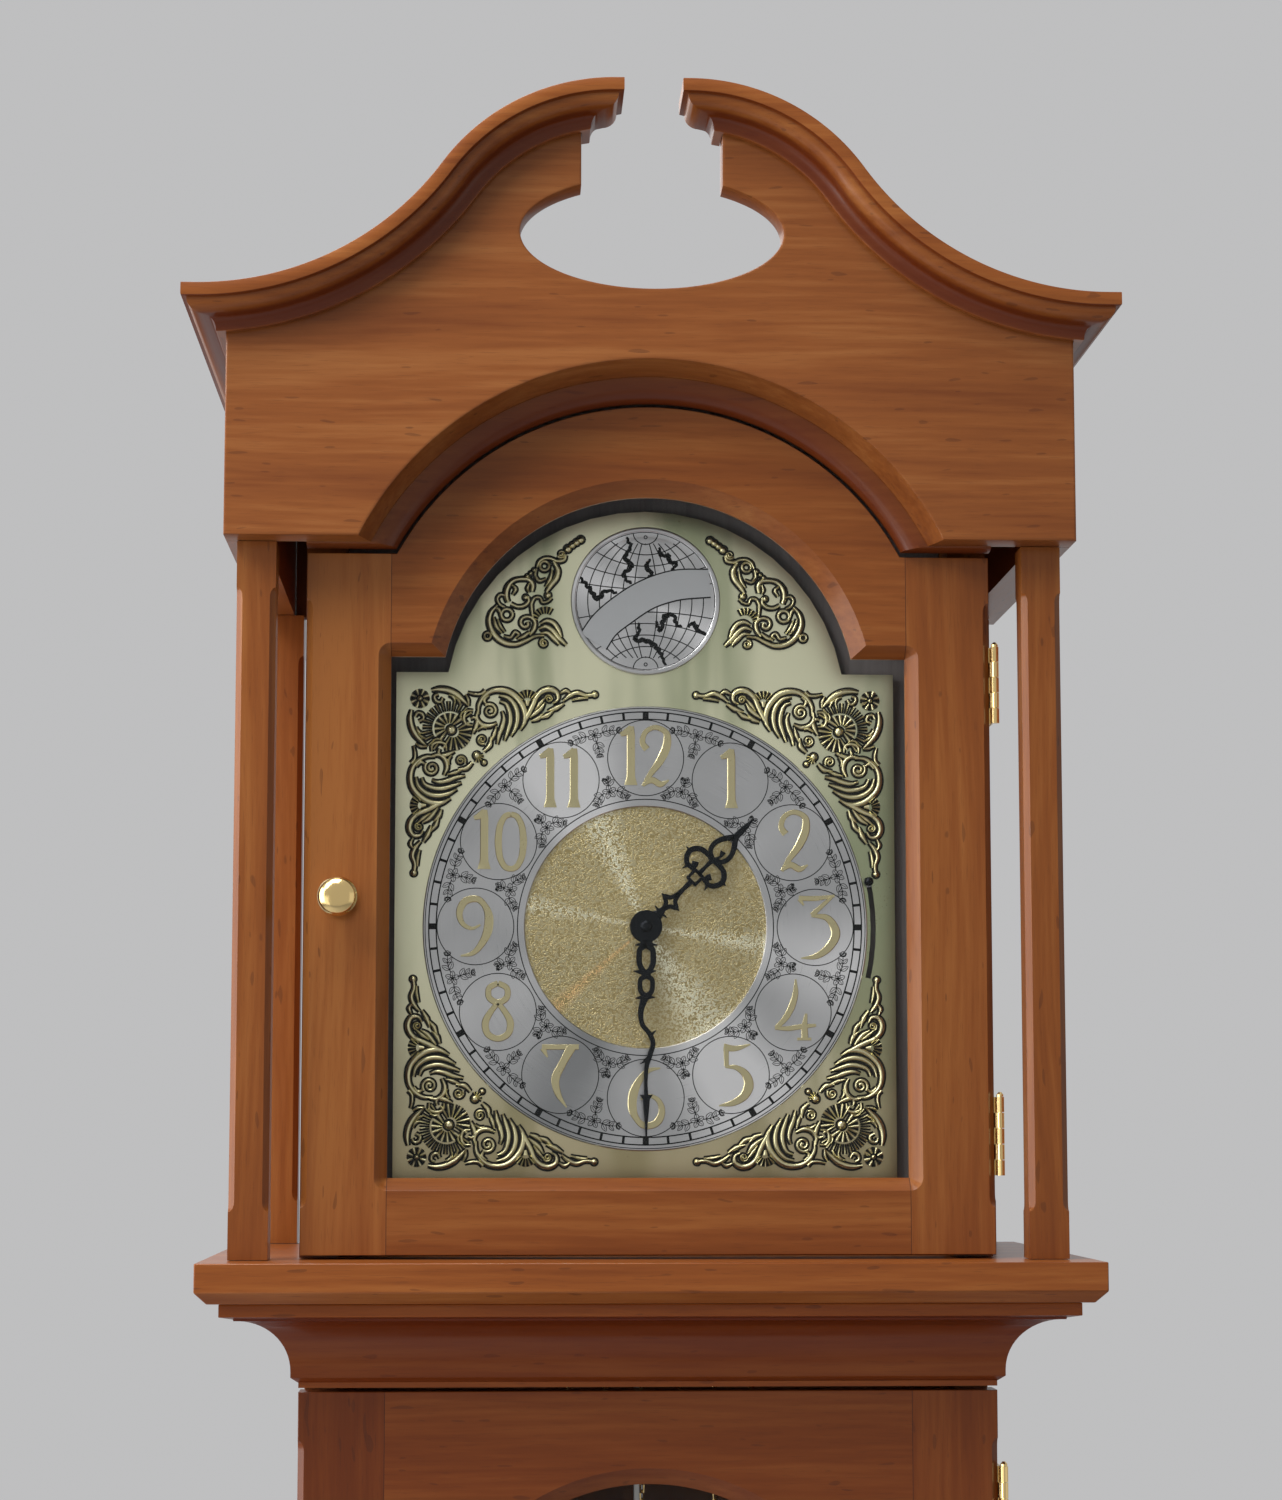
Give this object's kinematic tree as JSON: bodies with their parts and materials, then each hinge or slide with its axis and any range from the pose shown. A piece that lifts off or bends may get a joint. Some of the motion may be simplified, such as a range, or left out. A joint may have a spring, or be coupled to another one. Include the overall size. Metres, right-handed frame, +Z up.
{
  "type": "grandmother clock",
  "caption": "Tall floor clock with a swan-neck hood on four columns, arched brass dial, glazed hood and trunk doors, chain-hung weights and a swinging pendulum.",
  "frame": {"origin": "middle of the bounding box at floor level", "axes": "+X to the right as seen from the front, +Y to the wall, +Z up"},
  "size_m": [0.452, 0.2892, 1.829],
  "materials": {
    "cherry": "satin lacquered cherry, orange-brown",
    "inside_wood": "plain unlacquered board",
    "dial_board_paint": "dark matt paint",
    "dial_brass": "polished pale brass sheet",
    "silvered_brass": "silvered and engraved",
    "antique_brass": "cast, with dark recesses",
    "polished_brass": "polished and lacquered",
    "blued_steel": "black, satin",
    "steel": "plain drawn steel",
    "window_glass": "clear"
  },
  "bodies": {
    "case": {"base_box": "cherry", "trunk_case": "cherry", "hood_cove": "cherry", "hood_shelf": "cherry", "front_left_column": "cherry", "front_right_column": "cherry", "back_left_column": "cherry", "back_right_column": "cherry", "scroll_board": "cherry", "arch_moulding": "cherry", "left_swan_neck": "cherry", "right_swan_neck": "cherry", "hood_case": "cherry", "back_board": "inside_wood", "seat_board": "inside_wood", "dial_board": "dial_board_paint", "dial_plate": "dial_brass", "chapter_ring": "silvered_brass", "globe_medallion": "silvered_brass", "upper_left_spandrel": "antique_brass", "upper_right_spandrel": "antique_brass", "lower_left_spandrel": "antique_brass", "lower_right_spandrel": "antique_brass", "arch_left_spandrel": "antique_brass", "arch_right_spandrel": "antique_brass", "movement_frame": "polished_brass", "hood_upper_case_leaf": "polished_brass", "hood_lower_case_leaf": "polished_brass", "trunk_upper_case_leaf": "polished_brass", "trunk_lower_case_leaf": "polished_brass", "left_weight_chain": "polished_brass", "left_free_chain": "polished_brass", "centre_weight_chain": "polished_brass", "centre_free_chain": "polished_brass", "right_weight_chain": "polished_brass", "right_free_chain": "polished_brass"},
    "hood_door": {"hood_door_frame": "cherry", "hood_door_glass": "window_glass", "hood_door_knob": "polished_brass", "hood_upper_door_leaf": "polished_brass", "hood_lower_door_leaf": "polished_brass"},
    "trunk_door": {"trunk_door_frame": "cherry", "trunk_door_glass": "window_glass", "trunk_door_knob": "polished_brass", "trunk_upper_door_leaf": "polished_brass", "trunk_lower_door_leaf": "polished_brass"},
    "minute_hand": {"minute_hand": "blued_steel"},
    "hour_hand": {"hour_hand": "blued_steel"},
    "chime_lever": {"chime_lever": "steel"},
    "pendulum": {"pendulum_rod": "steel", "pendulum_bob": "polished_brass"},
    "left_weight": {"left_weight": "polished_brass"},
    "left_end_ring": {"left_end_ring": "polished_brass"},
    "left_chain_wheel": {"left_chain_wheel": "polished_brass"},
    "centre_weight": {"centre_weight": "polished_brass"},
    "centre_end_ring": {"centre_end_ring": "polished_brass"},
    "centre_chain_wheel": {"centre_chain_wheel": "polished_brass"},
    "right_weight": {"right_weight": "polished_brass"},
    "right_end_ring": {"right_end_ring": "polished_brass"},
    "right_chain_wheel": {"right_chain_wheel": "polished_brass"}
  },
  "joints": [
    {"name": "hood_door_hinge", "type": "hinge", "parent": "case", "child": "hood_door", "pos_m": [0.1699, -0.09285, 1.4422], "axis": [0, 0, 1], "range_deg": [0, 105]},
    {"name": "trunk_door_hinge", "type": "hinge", "parent": "case", "child": "trunk_door", "pos_m": [0.1699, -0.09085, 0.8622], "axis": [0, 0, 1], "range_deg": [0, 105]},
    {"name": "minute_hand_turn", "type": "hinge", "parent": "case", "child": "minute_hand", "pos_m": [0, -0.06065, 1.4238], "axis": [0, 1, 0], "continuous": true},
    {"name": "hour_hand_turn", "type": "hinge", "parent": "case", "child": "hour_hand", "pos_m": [0, -0.05765, 1.4238], "axis": [0, 1, 0], "continuous": true},
    {"name": "chime_lever_turn", "type": "hinge", "parent": "case", "child": "chime_lever", "pos_m": [0, -0.05085, 1.4238], "axis": [0, 1, 0], "range_deg": [0, 23.2]},
    {"name": "pendulum_swing", "type": "hinge", "parent": "case", "child": "pendulum", "pos_m": [0, 0.02975, 1.4932], "axis": [0, 1, 0], "range_deg": [-3.5, 3.5]},
    {"name": "left_weight_drop", "type": "slide", "parent": "case", "child": "left_weight", "axis": [0, 0, 1], "range_m": [-0.12, 0.2], "deforming": ["left_weight_chain"]},
    {"name": "left_ring_travel", "type": "slide", "parent": "case", "child": "left_end_ring", "axis": [0, 0, 1], "range_m": [-0.2, 0.12], "deforming": ["left_free_chain"]},
    {"name": "left_wheel_turn", "type": "hinge", "parent": "case", "child": "left_chain_wheel", "pos_m": [-0.02738, -0.01155, 1.3752], "axis": [0, 1, 0], "range_deg": [-760, 1260]},
    {"name": "centre_weight_drop", "type": "slide", "parent": "case", "child": "centre_weight", "axis": [0, 0, 1], "range_m": [-0.12, 0.2], "deforming": ["centre_weight_chain"]},
    {"name": "centre_ring_travel", "type": "slide", "parent": "case", "child": "centre_end_ring", "axis": [0, 0, 1], "range_m": [-0.2, 0.12], "deforming": ["centre_free_chain"]},
    {"name": "centre_wheel_turn", "type": "hinge", "parent": "case", "child": "centre_chain_wheel", "pos_m": [0.00912, -0.01155, 1.3752], "axis": [0, 1, 0], "range_deg": [-760, 1260]},
    {"name": "right_weight_drop", "type": "slide", "parent": "case", "child": "right_weight", "axis": [0, 0, 1], "range_m": [-0.12, 0.2], "deforming": ["right_weight_chain"]},
    {"name": "right_ring_travel", "type": "slide", "parent": "case", "child": "right_end_ring", "axis": [0, 0, 1], "range_m": [-0.2, 0.12], "deforming": ["right_free_chain"]},
    {"name": "right_wheel_turn", "type": "hinge", "parent": "case", "child": "right_chain_wheel", "pos_m": [0.04562, -0.01155, 1.3752], "axis": [0, 1, 0], "range_deg": [-760, 1260]}
  ],
  "couplings": [
    {"joint": "hour_hand_turn", "follows": "minute_hand_turn", "ratio": 0.083333},
    {"joint": "left_ring_travel", "follows": "left_weight_drop", "ratio": -1},
    {"joint": "left_wheel_turn", "follows": "left_weight_drop", "rad_per_m": 109.59},
    {"joint": "centre_ring_travel", "follows": "centre_weight_drop", "ratio": -1},
    {"joint": "centre_wheel_turn", "follows": "centre_weight_drop", "rad_per_m": 109.59},
    {"joint": "right_ring_travel", "follows": "right_weight_drop", "ratio": -1},
    {"joint": "right_wheel_turn", "follows": "right_weight_drop", "rad_per_m": 109.59}
  ]
}
